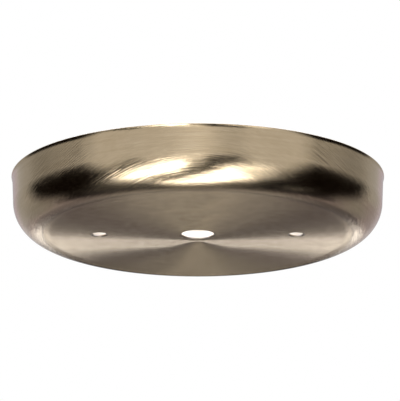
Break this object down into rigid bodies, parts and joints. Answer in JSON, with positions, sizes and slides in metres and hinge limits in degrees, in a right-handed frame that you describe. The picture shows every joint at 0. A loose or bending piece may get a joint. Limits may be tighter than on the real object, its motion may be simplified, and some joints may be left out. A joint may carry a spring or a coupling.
{
  "type": "light fixture ceiling canopy",
  "caption": "Round pressed steel ceiling canopy, a shallow open pan with a large drawn corner, a centre hole for a threaded tube and screw holes either side of it.",
  "frame": {"origin": "centre of the centre hole, in the plane of the outer show face, which is also the centre of the bottom of the box", "axes": "+Z along the axis of the pan, up to the ceiling and out of its open side; X along the line of the screw holes"},
  "size_m": [0.1324, 0.1324, 0.0209],
  "materials": {
    "antique_brass": "brushed antique brass plating on sheet steel, satin, lacquered"
  },
  "bodies": {
    "root": {"canopy_shell": "antique_brass"}
  },
  "joints": []
}
